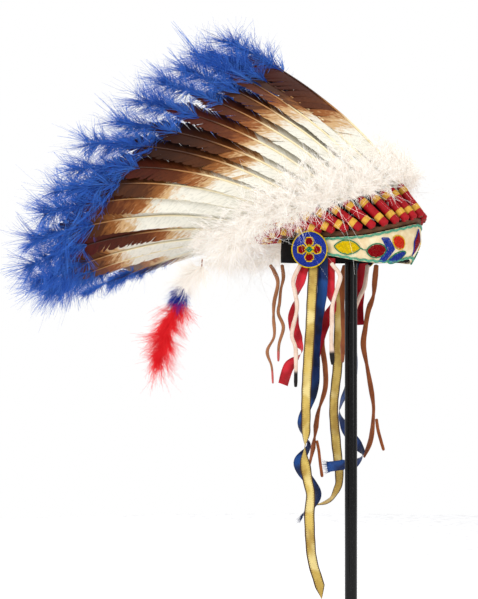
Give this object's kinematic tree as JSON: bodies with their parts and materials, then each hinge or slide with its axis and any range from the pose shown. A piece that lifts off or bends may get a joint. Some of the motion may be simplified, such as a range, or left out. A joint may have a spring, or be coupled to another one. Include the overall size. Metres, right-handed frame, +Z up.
{
  "type": "feathered headdress on a pole stand",
  "caption": "Feathered headdress with a felt skull cap, beaded browband and rosettes, a swept-back fan of wrapped feathers, ribbons and thongs, on a plain pole stand.",
  "frame": {"origin": "middle of the stand's flat underside, on the floor", "axes": "+X towards the wearer's front, +Y towards the wearer's left, +Z up along the pole"},
  "size_m": [0.6424, 0.4358, 0.9004],
  "materials": {
    "black_felt": "matte felt",
    "brown_leather": "dull",
    "beaded_cloth": "glass seed beads on cloth",
    "rosette_beads": "glass seed beads on cloth",
    "feather": "satin, white at the root and brown at the tip",
    "white_down": "soft down",
    "gold_ribbon": "satin",
    "blue_ribbon": "satin",
    "red_ribbon": "satin",
    "white_leather": "matte",
    "brown_suede": "suede",
    "dyed_plume": "soft down",
    "black_paint": "black, lightly speckled"
  },
  "bodies": {
    "root": {"cap": "black_felt", "browband": "beaded_cloth", "lacing_strip": "brown_leather", "rosette_right": "rosette_beads", "rosette_left": "rosette_beads", "feather_middle_000": "feather", "feather_right_013": "feather", "feather_right_023": "feather", "feather_right_033": "feather", "feather_right_043": "feather", "feather_right_053": "feather", "feather_right_063": "feather", "feather_right_073": "feather", "feather_right_083": "feather", "feather_right_093": "feather", "feather_right_103": "feather", "feather_right_118": "feather", "feather_right_133": "feather", "feather_right_148": "feather", "feather_right_163": "feather", "feather_middle_180": "feather", "feather_left_013": "feather", "feather_left_023": "feather", "feather_left_033": "feather", "feather_left_043": "feather", "feather_left_053": "feather", "feather_left_063": "feather", "feather_left_073": "feather", "feather_left_083": "feather", "feather_left_093": "feather", "feather_left_103": "feather", "feather_left_118": "feather", "feather_left_133": "feather", "feather_left_148": "feather", "feather_left_163": "feather", "down_front": "white_down", "down_right": "white_down", "down_left": "white_down", "down_back": "white_down", "gold_ribbon_right": "gold_ribbon", "blue_ribbon_right": "blue_ribbon", "red_ribbon_back_right": "red_ribbon", "red_ribbon_front_right": "red_ribbon", "white_drop_back_right": "white_leather", "white_drop_front_right": "white_leather", "thong_side_right": "brown_suede", "thong_tail_side_right": "brown_suede", "gold_ribbon_left": "gold_ribbon", "blue_ribbon_left": "blue_ribbon", "red_ribbon_left": "red_ribbon", "white_drop_left": "white_leather", "thong_back_left": "brown_suede", "thong_side_left": "brown_suede", "thong_tail_side_left": "brown_suede", "back_thong_long": "brown_suede", "back_thong_short": "brown_suede", "tail_plume": "dyed_plume", "stand_base": "black_paint", "stand_pole": "black_paint"}
  },
  "joints": []
}
